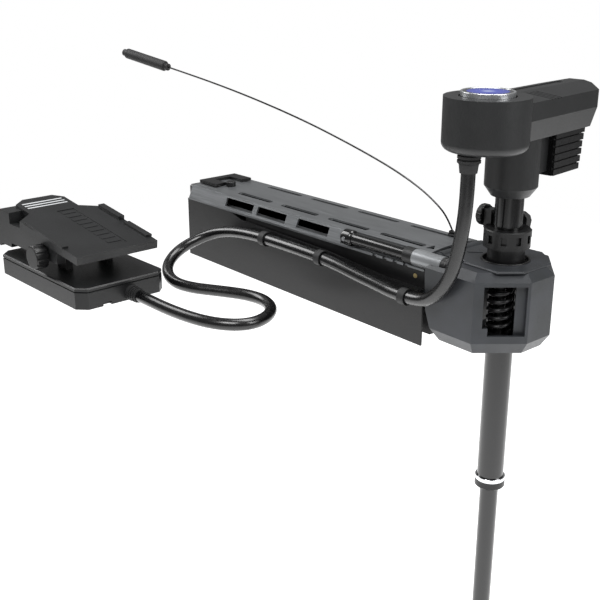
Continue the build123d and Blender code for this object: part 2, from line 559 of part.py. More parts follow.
# ---- Head ---------------------------------------------------------------------------------
yaw = math.radians(HEAD_YAW)
HEAD_X = (math.cos(yaw), math.sin(yaw), 0)
HEAD_Y = (-math.sin(yaw), math.cos(yaw), 0)
PINION_REACH = GEAR_MODULE * (WHEEL_TEETH + PINION_TEETH) / 2


def head_plane(z):
    """Level plane on the shaft's axis whose Y runs along the head."""
    return Plane(origin=(SHAFT_X, 0, z), x_dir=HEAD_X, z_dir=(0, 0, 1))


def head_point(x, y, z):
    """A place in the head's own directions, in the model's frame."""
    spot = head_plane(z).from_local_coords(Vector(x, y, 0))
    return (spot.X, spot.Y, spot.Z)


def head_block(x0, x1, y0, y1, z0, z1, mode=Mode.ADD):
    """Box along the head's own directions."""
    with Locations(head_plane(0)):
        with Locations(((x0 + x1) / 2, (y0 + y1) / 2, (z0 + z1) / 2)):
            Box(x1 - x0, y1 - y0, z1 - z0, mode=mode)


def box_outline(inset):
    """Plan of the head's box, with its two corners cut off at the far end."""
    Polygon((-BOX_HALF + inset, -45), (-BOX_HALF + inset, BOX_LENGTH - inset / 2),
            (-BOX_HALF / 2 + inset / 2, BOX_NOSE - inset), (BOX_HALF / 2 - inset / 2, BOX_NOSE - inset),
            (BOX_HALF - inset, BOX_LENGTH - inset / 2), (BOX_HALF - inset, -45), align=None)


with BuildPart() as head_lower:
    with BuildSketch(head_plane(DISC_BOTTOM)):
        with Locations((0, -DISC_BACK)):
            Circle(DISC_R)
    extrude(amount=HEAD_SEAM - DISC_BOTTOM)
    fillet(head_lower.edges().group_by(Axis.Z)[0], 12)
    with BuildSketch(head_plane(HEAD_SEAM)):
        box_outline(0)
    extrude(amount=-(HEAD_SEAM - BOX_BOTTOM), taper=14)
    rod((SHAFT_X, 0, NECK_BOTTOM + 14), (0, 0, 1), NECK_R, BOX_BOTTOM + 3 - NECK_BOTTOM - 14)
    with Locations((SHAFT_X, 0, NECK_BOTTOM + 7)):
        Cone(NECK_R - 10, NECK_R, 14)
    # Web that carries the finned block
    head_block(-20, 20, NECK_R - 6, BLOCK_START, BLOCK_BOTTOM + 6, BOX_BOTTOM + 3)
    # Inside
    with BuildSketch(head_plane(DISC_BOTTOM + 5)):
        with Locations((0, -DISC_BACK)):
            Circle(DISC_R - HEAD_WALL - 4)
    extrude(amount=HEAD_SEAM - DISC_BOTTOM, mode=Mode.SUBTRACT)
    with BuildSketch(head_plane(HEAD_SEAM)):
        box_outline(HEAD_WALL)
    extrude(amount=-(HEAD_SEAM - BOX_BOTTOM - 4), taper=14, mode=Mode.SUBTRACT)
    rod((SHAFT_X, 0, NECK_BOTTOM), (0, 0, 1), TUBE_R, TUBE_TOP - NECK_BOTTOM, Mode.SUBTRACT)
    rod((SHAFT_X, 0, TUBE_TOP), (0, 0, 1), INNER_R + GAP, 20, Mode.SUBTRACT)
finish(head_lower, "head_lower")

with BuildPart() as head_upper:
    with BuildSketch(head_plane(HEAD_SEAM)):
        box_outline(0)
    extrude(amount=HEAD_TOP - HEAD_SEAM)
    # The roof falls to both sides
    with BuildSketch(Plane(origin=head_point(0, -45, 0), x_dir=HEAD_X, z_dir=(HEAD_Y[0], HEAD_Y[1], 0))):
        with BuildLine():
            Polyline((12, -HEAD_TOP), (60, -HEAD_TOP + BOX_EDGE_DROP), (60, -HEAD_TOP - 9), (12, -HEAD_TOP - 9),
                     close=True)
        make_face()
        mirror(about=Plane.YZ)
    extrude(amount=260, mode=Mode.SUBTRACT)
    with BuildSketch(head_plane(HEAD_SEAM)):
        with Locations((0, -DISC_BACK)):
            Circle(DISC_R)
    extrude(amount=HEAD_TOP - HEAD_SEAM)
    # Inside
    with BuildSketch(head_plane(HEAD_SEAM)):
        box_outline(HEAD_WALL)
        with Locations((0, -DISC_BACK)):
            Circle(DISC_R - HEAD_WALL)
    extrude(amount=HEAD_TOP - HEAD_SEAM - 14, mode=Mode.SUBTRACT)
    # Recess under the indicator, and the hole for its spindle
    centre = head_point(0, -DISC_BACK, HEAD_TOP - 6)
    rod(centre, (0, 0, 1), INDICATOR_R + 6, 10, Mode.SUBTRACT)
    rod((centre[0], centre[1], HEAD_SEAM), (0, 0, 1), 4 + RUN, 40, Mode.SUBTRACT)
    # Slanted grooves and the long recess on the roof
    for y in (2, 10, 18, 26):
        with Locations(head_plane(HEAD_TOP - 4)):
            with Locations(Location((34, y, 0), (0, 0, 28))):
                Box(36, 2, 12, mode=Mode.SUBTRACT)
    head_block(-8, 2, -30, 122, HEAD_TOP - 1.2, HEAD_TOP + 1, Mode.SUBTRACT)
finish(head_upper, "head_upper")

with BuildPart() as finned_block:
    FIN_COUNT = 6
    fin_pitch = (BOX_BOTTOM - BLOCK_BOTTOM) / FIN_COUNT
    head_block(-BLOCK_HALF + 2.5, BLOCK_HALF - 2.5, BLOCK_START, BLOCK_END - 14, BLOCK_BOTTOM, BOX_BOTTOM)
    for index in range(FIN_COUNT):
        low = BLOCK_BOTTOM + index * fin_pitch
        head_block(-BLOCK_HALF, BLOCK_HALF, BLOCK_START + 2, BLOCK_END - 12 + 2.2 * index,
                   low, low + fin_pitch - 2)
    fillet(finned_block.edges().filter_by(Axis.Z).sort_by(Axis.Y)[-4:], 2)
finish(finned_block, "finned_block")

# ---- Inside the head ----------------------------------------------------------------------
WHEEL_Z = 331.0
PINION_Z = 330.0




wheel_place = head_plane(WHEEL_Z)
pinion_place = Plane(origin=head_point(0, PINION_REACH, PINION_Z), x_dir=HEAD_Y, z_dir=(0, 0, 1))
# One wheel tooth points at the pinion, which has a gap there
half_pinion_tooth = 180 / PINION_TEETH
with BuildPart() as steering_wheel_gear:
    with BuildSketch(Plane(origin=wheel_place.origin, x_dir=HEAD_Y, z_dir=(0, 0, 1))) as wheel_outline:
        wheel_r = GEAR_MODULE * WHEEL_TEETH / 2
        root = wheel_r - 1.15 * GEAR_MODULE
        tip = wheel_r + 0.7 * GEAR_MODULE
        Circle(root)
        with PolarLocations(0, WHEEL_TEETH):
            Polygon((root - 1, -1.7), (wheel_r, -1.15), (tip, -0.55), (tip, 0.55), (wheel_r, 1.15),
                    (root - 1, 1.7), align=None)
        Circle(INNER_R, mode=Mode.SUBTRACT)
    extrude(amount=6)
finish(steering_wheel_gear, "steering_gear")

with BuildPart() as steering_pinion:
    with BuildSketch(pinion_place):
        pinion_r = GEAR_MODULE * PINION_TEETH / 2
        root = pinion_r - 1.15 * GEAR_MODULE
        tip = pinion_r + 0.7 * GEAR_MODULE
        Circle(root)
        with PolarLocations(0, PINION_TEETH, start_angle=180 + half_pinion_tooth):
            Polygon((root - 1, -1.7), (pinion_r, -1.15), (tip, -0.55), (tip, 0.55), (pinion_r, 1.15),
                    (root - 1, 1.7), align=None)
    extrude(amount=8)
    rod(head_point(0, PINION_REACH, PINION_Z), (0, 0, 1), 3, 20)
finish(steering_pinion, "steering_pinion")

with BuildPart() as steering_motor:
    rod(head_point(0, PINION_REACH, 341.5), (0, 0, 1), 15, 26)
    rod(head_point(0, PINION_REACH, 341), (0, 0, 1), 3 + RUN, 12, Mode.SUBTRACT)
finish(steering_motor, "steering_motor")
with BuildPart() as motor_bracket:
    head_block(-BOX_HALF + HEAD_WALL + 3.4, BOX_HALF - HEAD_WALL - 3.4, PINION_REACH - 20, PINION_REACH + 20,
               339.5, 341.5)
    rod(head_point(0, PINION_REACH, 339), (0, 0, 1), 6, 4, Mode.SUBTRACT)
    for x in (-36, 36):
        for y in (-14, 14):
            rod(head_point(x, PINION_REACH + y, BOX_BOTTOM + 4), (0, 0, 1), 3, 339.5 - BOX_BOTTOM - 4)
finish(motor_bracket, "motor_bracket")
with BuildPart() as control_board:
    head_block(-36, 36, 82, 136, 340, 342)
    head_block(-24, -6, 92, 110, 342, 345)
    head_block(6, 26, 100, 118, 342, 348)
    for x in (-30, 30):
        for y in (88, 130):
            rod(head_point(x, y, BOX_BOTTOM + 4), (0, 0, 1), 2.5, 340 - BOX_BOTTOM - 4)
finish(control_board, "control_board")

indicator_centre = head_point(0, -DISC_BACK, HEAD_TOP)
with BuildPart() as indicator_bezel:
    rod((indicator_centre[0], indicator_centre[1], HEAD_TOP - 6), (0, 0, 1), INDICATOR_R + 3.8, 12.7)
    rod((indicator_centre[0], indicator_centre[1], HEAD_TOP - 6), (0, 0, 1), INDICATOR_R + GAP, 12.7,
        Mode.SUBTRACT)
    fillet(indicator_bezel.edges().group_by(Axis.Z)[-1], 1)
finish(indicator_bezel, "indicator_bezel")
with BuildPart() as direction_indicator:
    rod((indicator_centre[0], indicator_centre[1], HEAD_TOP - 5.6), (0, 0, 1), INDICATOR_R, 11.6)
    rod((indicator_centre[0], indicator_centre[1], HEAD_SEAM + 4), (0, 0, 1), 4, 26)
finish(direction_indicator, "direction_indicator")

GLAND_X, GLAND_Y, GLAND_Z = 407.4, -105.0, 285.0
with BuildPart() as head_gland:
    rod((GLAND_X, GLAND_Y, GLAND_Z + 12), (0, 0, 1), 14, DISC_BOTTOM - GLAND_Z - 12)
    for z in (GLAND_Z + 14, GLAND_Z + 20):
        rod((GLAND_X, GLAND_Y, z), (0, 0, 1), 16, 3.5)
    with Locations((GLAND_X, GLAND_Y, GLAND_Z + 6)):
        Cone(12, 13.5, 12)
finish(head_gland, "head_gland")

# ---- Lower unit ---------------------------------------------------------------------------
PROP_SHAFT_R = 5.0
POD_REAR = SHAFT_X - POD_HALF_LENGTH
POD_FRONT = SHAFT_X + POD_HALF_LENGTH
TAIL_LENGTH = 62.0
NOSE_CONE = 64.0
HUB_LENGTH = 46.0
HUB_R = 27.0

with BuildPart() as inner_tube:
    rod((SHAFT_X, 0, LOWER_AXIS_Z + POD_R), (0, 0, 1), INNER_R, 345 - LOWER_AXIS_Z - POD_R)
    rod((SHAFT_X, 0, LOWER_AXIS_Z + POD_R), (0, 0, 1), INNER_R - INNER_WALL, 345 - LOWER_AXIS_Z - POD_R,
        Mode.SUBTRACT)
finish(inner_tube, "inner_tube")

with BuildPart() as motor_housing:
    rod((POD_REAR, 0, LOWER_AXIS_Z), (1, 0, 0), POD_R, 2 * POD_HALF_LENGTH)
    with Locations((SHAFT_X, 0, LOWER_AXIS_Z + POD_R + 20)):
        Cone(30, INNER_R + 5, 48)
    rod((POD_REAR, 0, LOWER_AXIS_Z), (1, 0, 0), POD_R - POD_WALL, 2 * POD_HALF_LENGTH, Mode.SUBTRACT)
    rod((SHAFT_X, 0, LOWER_AXIS_Z + POD_R), (0, 0, 1), INNER_R, 60, Mode.SUBTRACT)
with BuildPart() as nose_cone:
    with Locations(Plane(origin=(POD_FRONT + NOSE_CONE / 2, 0, LOWER_AXIS_Z), z_dir=(1, 0, 0))):
        Cone(POD_R, POD_R - 16, NOSE_CONE)
    fillet(nose_cone.edges().group_by(Axis.X)[-1], 24)
    rod((POD_FRONT, 0, LOWER_AXIS_Z), (1, 0, 0), POD_R - 12, 22, Mode.SUBTRACT)
with BuildPart() as tail_bell:
    with Locations(Plane(origin=(POD_REAR - TAIL_LENGTH / 2, 0, LOWER_AXIS_Z), z_dir=(1, 0, 0))):
        Cone(HUB_R + 1, POD_R, TAIL_LENGTH)
    rod((POD_REAR - 18, 0, LOWER_AXIS_Z), (1, 0, 0), POD_R - 12, 18, Mode.SUBTRACT)
    rod((POD_REAR - TAIL_LENGTH, 0, LOWER_AXIS_Z), (1, 0, 0), 12, TAIL_LENGTH, Mode.SUBTRACT)
finish_set("pod_ends", nose_cone, tail_bell)
with BuildPart() as skeg:
    with BuildSketch(Plane(origin=(0, 0, 0), x_dir=(1, 0, 0), z_dir=(0, -1, 0))):
        with BuildLine():
            Polyline((SHAFT_X + 60, LOWER_AXIS_Z - POD_R + 1.2), (SHAFT_X + 10, LOWER_AXIS_Z - POD_R - 84),
                     (SHAFT_X - 34, LOWER_AXIS_Z - POD_R - 90), (SHAFT_X - 56, LOWER_AXIS_Z - POD_R - 70),
                     (SHAFT_X - 62, LOWER_AXIS_Z - POD_R + 1.2), close=True)
        make_face()
    extrude(amount=4, both=True)
    block(SHAFT_X - 70, SHAFT_X + 68, -9, 9, LOWER_AXIS_Z - POD_R - 5, LOWER_AXIS_Z - POD_R + 1.2)
    rod((POD_REAR, 0, LOWER_AXIS_Z), (1, 0, 0), POD_R, 2 * POD_HALF_LENGTH, Mode.SUBTRACT)
    fillet(skeg.edges().filter_by(Axis.Y).group_by(Axis.Z)[0], 8)
finish_set("motor_housing", motor_housing, skeg)
with BuildPart() as stator_magnets:
    with BuildSketch(Plane(origin=(SHAFT_X - 50, 0, LOWER_AXIS_Z), x_dir=(0, 1, 0), z_dir=(1, 0, 0))):
        Circle(POD_R - POD_WALL)
        Circle(POD_R - POD_WALL - 8, mode=Mode.SUBTRACT)
        for angle in (0, 90):
            with Locations(Location((0, 0, 0), (0, 0, angle))):
                Rectangle(8, 3 * POD_R, mode=Mode.SUBTRACT)
    extrude(amount=100)
finish(stator_magnets, "stator_magnets")
with BuildPart() as motor_bearings:
    for x in (SHAFT_X - 96, SHAFT_X + 84):
        rod((x, 0, LOWER_AXIS_Z), (1, 0, 0), POD_R - POD_WALL, 10)
        rod((x, 0, LOWER_AXIS_Z), (1, 0, 0), PROP_SHAFT_R + RUN, 10, Mode.SUBTRACT)
with BuildPart() as shaft_seal:
    rod((POD_REAR - TAIL_LENGTH + 2, 0, LOWER_AXIS_Z), (1, 0, 0), 12, 10)
    rod((POD_REAR - TAIL_LENGTH, 0, LOWER_AXIS_Z), (1, 0, 0), PROP_SHAFT_R + RUN, 14, Mode.SUBTRACT)
finish_set("motor_bearings", motor_bearings, shaft_seal)
HUB_REAR = POD_REAR - TAIL_LENGTH - 2 - HUB_LENGTH
with BuildPart() as motor_rotor:
    rod((HUB_REAR - 16, 0, LOWER_AXIS_Z), (1, 0, 0), PROP_SHAFT_R, SHAFT_X + 94 - HUB_REAR + 16)
    rod((SHAFT_X - 48, 0, LOWER_AXIS_Z), (1, 0, 0), 30, 96)
    rod((SHAFT_X + 52, 0, LOWER_AXIS_Z), (1, 0, 0), 16, 24)
finish(motor_rotor, "motor_rotor")
with BuildPart() as drive_pin:
    rod((HUB_REAR + HUB_LENGTH - 8, 0, LOWER_AXIS_Z + PROP_SHAFT_R), (0, 0, 1), 2.5, HUB_R - PROP_SHAFT_R - 6)
    rod((HUB_REAR + HUB_LENGTH - 8, 0, LOWER_AXIS_Z - PROP_SHAFT_R), (0, 0, -1), 2.5, HUB_R - PROP_SHAFT_R - 6)
with BuildPart() as propeller:
    rod((HUB_REAR, 0, LOWER_AXIS_Z), (1, 0, 0), HUB_R, HUB_LENGTH)
    for index in range(3):
        turn = math.radians(120 * index)
        out = (0, math.sin(turn), math.cos(turn))
        for step, (reach, chord, pitch_angle) in enumerate(
                ((HUB_R - 6, 34, 52), (70, 62, 36), (PROP_R, 40, 24))):
            origin = (HUB_REAR + HUB_LENGTH / 2, reach * out[1], LOWER_AXIS_Z + reach * out[2])
            across = (0, math.cos(turn), -math.sin(turn))
            slant = math.radians(pitch_angle)
            chord_dir = (math.sin(slant), across[1] * math.cos(slant), across[2] * math.cos(slant))
            with BuildSketch(Plane(origin=origin, x_dir=chord_dir, z_dir=out)):
                Ellipse(chord / 2, 2.6 - 0.5 * step)
        loft()
    rod((HUB_REAR, 0, LOWER_AXIS_Z), (1, 0, 0), PROP_SHAFT_R, HUB_LENGTH, Mode.SUBTRACT)
    rod((HUB_REAR + HUB_LENGTH - 8, 0, LOWER_AXIS_Z), (0, 0, 1), 2.5, HUB_R - 6, Mode.SUBTRACT)
    rod((HUB_REAR + HUB_LENGTH - 8, 0, LOWER_AXIS_Z), (0, 0, -1), 2.5, HUB_R - 6, Mode.SUBTRACT)
finish(propeller, "propeller")
with BuildPart() as prop_nut:
    with BuildSketch(Plane(origin=(HUB_REAR, 0, LOWER_AXIS_Z), x_dir=(0, 1, 0), z_dir=(-1, 0, 0))):
        RegularPolygon(11, 6)
        Circle(PROP_SHAFT_R, mode=Mode.SUBTRACT)
    extrude(amount=14)
finish_set("propeller_fasteners", drive_pin, prop_nut)

# ---- Foot pedal ---------------------------------------------------------------------------
BASE_MID_X = (PEDAL_REAR_X + PEDAL_FRONT_X) / 2
BASE_LENGTH = PEDAL_FRONT_X - PEDAL_REAR_X
BASE_WIDTH = PEDAL_FAR_Y - PEDAL_NEAR_Y
YOKE_Y = 40.0
AXLE_R = 6.0
with BuildPart() as pedal_base:
    with BuildSketch(Plane.XY.offset(3)):
        with Locations((BASE_MID_X, PEDAL_MID_Y)):
            Rectangle(BASE_LENGTH, BASE_WIDTH)
        chamfer(vertices(), 16)
    extrude(amount=PEDAL_RIM_Z - 3)
    # Hollow inside, and a drain notch under each end
    block(PEDAL_REAR_X + 16, PEDAL_FRONT_X - 16, PEDAL_NEAR_Y + 16, PEDAL_FAR_Y - 16, 6, PEDAL_RIM_Z,
          Mode.SUBTRACT)
    for x in (PEDAL_REAR_X, PEDAL_FRONT_X):
        block(x - 8, x + 8, PEDAL_MID_Y - 42, PEDAL_MID_Y - 26, 0, 9, Mode.SUBTRACT)
finish(pedal_base, "pedal_base")
with BuildPart() as pedal_gasket:
    with BuildSketch(Plane.XY.offset(PEDAL_RIM_Z)):
        with Locations((BASE_MID_X, PEDAL_MID_Y)):
            Rectangle(BASE_LENGTH - 5, BASE_WIDTH - 5)
        chamfer(vertices(), 15)
        with Locations((BASE_MID_X, PEDAL_MID_Y)):
            Rectangle(BASE_LENGTH - 40, BASE_WIDTH - 40, mode=Mode.SUBTRACT)
    extrude(amount=2)
with BuildPart() as pedal_deck:
    with BuildSketch(Plane.XY.offset(PEDAL_RIM_Z + 2)):
        with Locations((BASE_MID_X, PEDAL_MID_Y)):
            Rectangle(BASE_LENGTH, BASE_WIDTH)
        chamfer(vertices(), 16)
    extrude(amount=PEDAL_TOP_Z - PEDAL_RIM_Z - 2)
    chamfer(pedal_deck.faces().sort_by(Axis.Z)[-1].edges(), 2)
    for side in SIDES:
        y = PEDAL_MID_Y + side * YOKE_Y
        block(PEDAL_PIVOT_X - 16, PEDAL_PIVOT_X + 16, y - 6, y + 6, PEDAL_TOP_Z, PEDAL_PIVOT_Z)
        rod((PEDAL_PIVOT_X, y - 6, PEDAL_PIVOT_Z), (0, 1, 0), 12, 12)
        rod((PEDAL_PIVOT_X, y - 7, PEDAL_PIVOT_Z), (0, 1, 0), AXLE_R, 14, Mode.SUBTRACT)
finish(pedal_deck, "pedal_deck")
with BuildPart() as pedal_axle:
    rod((PEDAL_PIVOT_X, PEDAL_MID_Y - YOKE_Y - 22, PEDAL_PIVOT_Z), (0, 1, 0), AXLE_R, 2 * YOKE_Y + 44)
finish(pedal_axle, "pedal_axle")
with BuildPart() as pedal_feet:
    for x in (PEDAL_REAR_X + 30, PEDAL_FRONT_X - 30):
        for y in (PEDAL_NEAR_Y + 30, PEDAL_FAR_Y - 30):
            rod((x, y, 0), (0, 0, 1), 12, 3)
finish_set("pedal_rubbers", pedal_gasket, pedal_feet)

PAD_SLOPE = math.degrees(math.atan2(PAD_HEEL_Z - PAD_TOE_Z, PAD_TOE_X - PAD_HEEL_X))
pad_length = math.hypot(PAD_HEEL_Z - PAD_TOE_Z, PAD_TOE_X - PAD_HEEL_X)
slope = math.radians(PAD_SLOPE)
PAD_PLANE = Plane(origin=(PAD_HEEL_X, PEDAL_MID_Y, PAD_HEEL_Z), x_dir=(math.cos(slope), 0, -math.sin(slope)),
                  z_dir=(math.sin(slope), 0, math.cos(slope)))


def pad_block(u0, u1, v0, v1, w0, w1, mode=Mode.ADD):
    """Box on the sloping pad: from the heel, across, and up from the pad's top face."""
    with Locations(PAD_PLANE):
        with Locations(((u0 + u1) / 2, (v0 + v1) / 2, (w0 + w1) / 2)):
            Box(u1 - u0, v1 - v0, w1 - w0, mode=mode)


with BuildPart() as pedal_pad:
    with BuildSketch(PAD_PLANE):
        with BuildLine():
            Polyline((0, -30), (18, -52), (70, -52), (96, -PAD_HALF), (pad_length, -PAD_HALF + 6),
                     (pad_length, PAD_HALF - 6), (96, PAD_HALF), (70, 46), (18, 46), (0, 30), close=True)
        make_face()
    extrude(amount=-PAD_THICK)
    # Raised foot rails, a centre strip and two pockets
    pad_block(110, 240, -PAD_HALF + 2, -PAD_HALF + 14, 0, 4)
    pad_block(100, 170, PAD_HALF - 14, PAD_HALF - 2, 0, 7)
    pad_block(190, 262, PAD_HALF - 16, PAD_HALF - 4, 0, 4)
    pad_block(80, 262, -4, 30, -1.2, 0.5, Mode.SUBTRACT)
    for index in range(9):
        pad_block(88 + 19 * index, 98 + 19 * index, 0, 26, -2.5, -0.4)
    for index in range(3):
        pad_block(20 + 11 * index, 25 + 11 * index, -42, 38, -2, 1, Mode.SUBTRACT)
    # Ribs that hang on the axle, outside the two yokes
    for side in SIDES:
        y = PEDAL_MID_Y + side * (YOKE_Y + 15)
        block(PEDAL_PIVOT_X - 14, PEDAL_PIVOT_X + 14, y - 7, y + 7, PEDAL_PIVOT_Z, 98)
        rod((PEDAL_PIVOT_X, y - 7, PEDAL_PIVOT_Z), (0, 1, 0), 13, 14)
        rod((PEDAL_PIVOT_X, y - 8, PEDAL_PIVOT_Z), (0, 1, 0), AXLE_R + RUN, 16, Mode.SUBTRACT)
    # Side box on the near side, which carries the speed knob and the push button
    block(PAD_HEEL_X, PEDAL_PIVOT_X + 44, PEDAL_NEAR_Y + 8, PEDAL_NEAR_Y + 22, PEDAL_PIVOT_Z - 6, 100)
    block(PAD_HEEL_X, PAD_HEEL_X + 40, PEDAL_NEAR_Y + 8, PEDAL_MID_Y - 30, PEDAL_PIVOT_Z - 14, 120)
    block(PAD_HEEL_X - 1, PAD_HEEL_X + 12, PEDAL_NEAR_Y + 17, PEDAL_NEAR_Y + 49, PEDAL_PIVOT_Z - 4,
          PEDAL_PIVOT_Z + 30, Mode.SUBTRACT)
    rod((PEDAL_PIVOT_X, PEDAL_NEAR_Y + 7, PEDAL_PIVOT_Z), (0, 1, 0), 4 + RUN, 18, Mode.SUBTRACT)
finish(pedal_pad, "pedal_pad")
with BuildPart() as pad_lights:
    for index in range(3):
        pad_block(20 + 11 * index, 25 + 11 * index, -42, 38, -2, -0.3)
finish(pad_lights, "pad_lights")
with BuildPart() as speed_knob:
    rod((PEDAL_PIVOT_X, PEDAL_NEAR_Y - 16, PEDAL_PIVOT_Z), (0, 1, 0), 21, 22)
    fillet(speed_knob.edges().group_by(Axis.Y)[0], 3)
    with Locations(Plane(origin=(PEDAL_PIVOT_X, PEDAL_NEAR_Y - 4, PEDAL_PIVOT_Z), z_dir=(0, 1, 0))):
        with PolarLocations(22, 12):
            Cylinder(2.6, 26, mode=Mode.SUBTRACT)
    rod((PEDAL_PIVOT_X, PEDAL_NEAR_Y, PEDAL_PIVOT_Z), (0, 1, 0), 4, 20)
finish(speed_knob, "speed_knob")
with BuildPart() as momentary_button:
    block(PAD_HEEL_X - 30, PAD_HEEL_X - 6, PEDAL_NEAR_Y + 11, PEDAL_NEAR_Y + 55, PEDAL_PIVOT_Z - 22,
          PEDAL_PIVOT_Z + 26)
    fillet(momentary_button.edges().filter_by(Axis.Y), 6)
    block(PAD_HEEL_X - 8, PAD_HEEL_X + 6, PEDAL_NEAR_Y + 18, PEDAL_NEAR_Y + 48, PEDAL_PIVOT_Z - 2,
          PEDAL_PIVOT_Z + 22)
finish(momentary_button, "momentary_button")

PEDAL_GLAND_Y, PEDAL_GLAND_Z, PEDAL_GLAND_X = -297.0, 15.0, -122.0
with BuildPart() as pedal_gland:
    rod((PEDAL_FRONT_X, PEDAL_GLAND_Y, PEDAL_GLAND_Z), (1, 0, 0), 13.5, 8)
    rod((PEDAL_FRONT_X + 8, PEDAL_GLAND_Y, PEDAL_GLAND_Z), (1, 0, 0), 11.5,
        PEDAL_GLAND_X - PEDAL_FRONT_X - 8)
    for x in (PEDAL_FRONT_X + 11, PEDAL_FRONT_X + 17):
        rod((x, PEDAL_GLAND_Y, PEDAL_GLAND_Z), (1, 0, 0), 13, 3)

# ---- Cable from the head to the pedal -------------------------------------------------------
def bend_radii(name, points):
    """Largest radius that each corner of a route has room for, printed for a check."""
    radii = []
    for before, corner, after in zip(points, points[1:], points[2:]):
        arriving = Vector(*corner) - Vector(*before)
        leaving = Vector(*after) - Vector(*corner)
        half_turn = math.radians(arriving.get_angle(leaving) / 2)
        radii.append(0.45 * min(arriving.length, leaving.length) / math.tan(half_turn))
    print(name, "radii", [round(radius) for radius in radii])
    return radii


def report_route(name, tube, path, radius):
    """Print a tube's length, and its volume against its section times that length."""
    length = sum(edge.length for edge in path.edges())
    print(name, "length", round(length, 1), "volume ratio",
          round(tube.part.volume / (math.pi * radius ** 2 * length), 4))


CLIP_END = (300.0, -95.0, 77.6)
UPPER_ROUTE = [
    (GLAND_X, GLAND_Y, GLAND_Z), (GLAND_X, GLAND_Y, 248), (404, -105.5, 205), (395, -105, 160),
    (384, -104, 130), (367, -102.5, 106), (347, -100, 89), (324, -97, 79.5), CLIP_END]
LOWER_ROUTE = [
    CLIP_END, (270, -92.5, 75.225), (228, -90.4, 79.5), (185, -89.2, 83), (141, -87.6, 88),
    (97, -86.1, 90.5), (50, -84.6, 91), (3, -83.1, 90.6), (-35, -81.7, 90), (-74, -80.6, 89),
    (-115, -80.4, 86), (-152, -81.5, 81), (-186, -86, 73), (-210, -101, 62), (-223, -125, 51),
    (-226, -151, 38.5), (-213, -179, 26), (-183, -200, 16.5), (-146, -207, 11.5), (-110, -197, 10.3),
    (-80, -180, 10.2), (-50, -163, 10.2), (-20, -149, 10.2), (14, -144, 10.2), (45, -152, 10.2),
    (70, -170, 10.2), (87, -195, 10.2), (93, -222, 10.2), (86, -246, 10.2), (66, -265, 10.2),
    (38, -278, 10.2), (2, -286, 10.2), (-46, -292, 11.2), (PEDAL_GLAND_X + 28, PEDAL_GLAND_Y, PEDAL_GLAND_Z),
    (PEDAL_GLAND_X, PEDAL_GLAND_Y, PEDAL_GLAND_Z)]

with BuildPart() as cable_upper:
    with BuildLine() as upper_path:
        FilletPolyline(*UPPER_ROUTE, radius=bend_radii("cable_upper", UPPER_ROUTE))
    with BuildSketch(Plane(origin=upper_path.line @ 0, z_dir=upper_path.line % 0)):
        Circle(CABLE_R)
    sweep()
finish(cable_upper, "cable_upper")
with BuildPart() as cable_lower:
    with BuildLine() as lower_path:
        FilletPolyline(*LOWER_ROUTE, radius=bend_radii("cable_lower", LOWER_ROUTE))
    with BuildSketch(Plane(origin=lower_path.line @ 0, z_dir=lower_path.line % 0)):
        Circle(CABLE_R)
    sweep()
finish(cable_lower, "cable_lower")
report_route("cable_upper", cable_upper, upper_path, CABLE_R)
report_route("cable_lower", cable_lower, lower_path, CABLE_R)

CLIP_WIDTH = 13.0
with BuildPart() as cable_clips:
    for x, y, z in ((292, -94.4, 76.9), (97, -86.1, 90.3), (-52, -81.3, 89.5)):
        rod((x - CLIP_WIDTH / 2, y, z), (1, 0, 0), CABLE_R + 2.8, CLIP_WIDTH)
        block(x - CLIP_WIDTH / 2, x + CLIP_WIDTH / 2, y + 4, -skirt_half(x + CLIP_WIDTH / 2) - 0.4,
              z - 6, z + 6)
        rod((x - CLIP_WIDTH, y, z), (1, 0, 0), CABLE_R + 0.95, 2 * CLIP_WIDTH, Mode.SUBTRACT)

# ---- Pull cord that frees and lifts the nose ------------------------------------------------
CORD_START = (263.0, 42.0)
CORD_WAY = (-0.983, -0.184)
CORD_FOOT_Z = 148.0


def cord_point(reach, height):
    """Point of the pull cord in its own upright plane."""
    return (CORD_START[0] + CORD_WAY[0] * reach, CORD_START[1] + CORD_WAY[1] * reach, height)


PULL_ROUTE = [cord_point(reach, height) for reach, height in (
    (0, CORD_FOOT_Z), (10, 167), (28, 184.5), (60, 206), (108, 228.5), (160, 247.6), (216, 266), (272, 283),
    (329, 298.3), (386, 312), (444, 324.8), (502, 336.3), (560, 346.8), (616.5, 356.4))]
with BuildPart() as pull_cord:
    with BuildLine() as pull_path:
        FilletPolyline(*PULL_ROUTE, radius=bend_radii("pull_cord", PULL_ROUTE))
    with BuildSketch(Plane(origin=pull_path.line @ 0, z_dir=pull_path.line % 0)):
        Circle(PULL_WIRE_R)
    sweep()
finish(pull_cord, "pull_cord")
report_route("pull_cord", pull_cord, pull_path, PULL_WIRE_R)
HANDLE_LENGTH = 119.0
HANDLE_R = 9.5
with BuildPart() as pull_handle:
    handle_end = pull_path.line @ 1
    handle_way = pull_path.line % 1
    with BuildSketch(Plane(origin=handle_end, z_dir=handle_way)):
        Circle(HANDLE_R - 3)
    extrude(amount=HANDLE_LENGTH)
    with BuildSketch(Plane(origin=handle_end + handle_way * 8, z_dir=handle_way)):
        Circle(HANDLE_R)
    extrude(amount=HANDLE_LENGTH - 16)
    fillet(pull_handle.edges().filter_by(GeomType.CIRCLE).group_by(SortBy.RADIUS)[-1], 2.5)
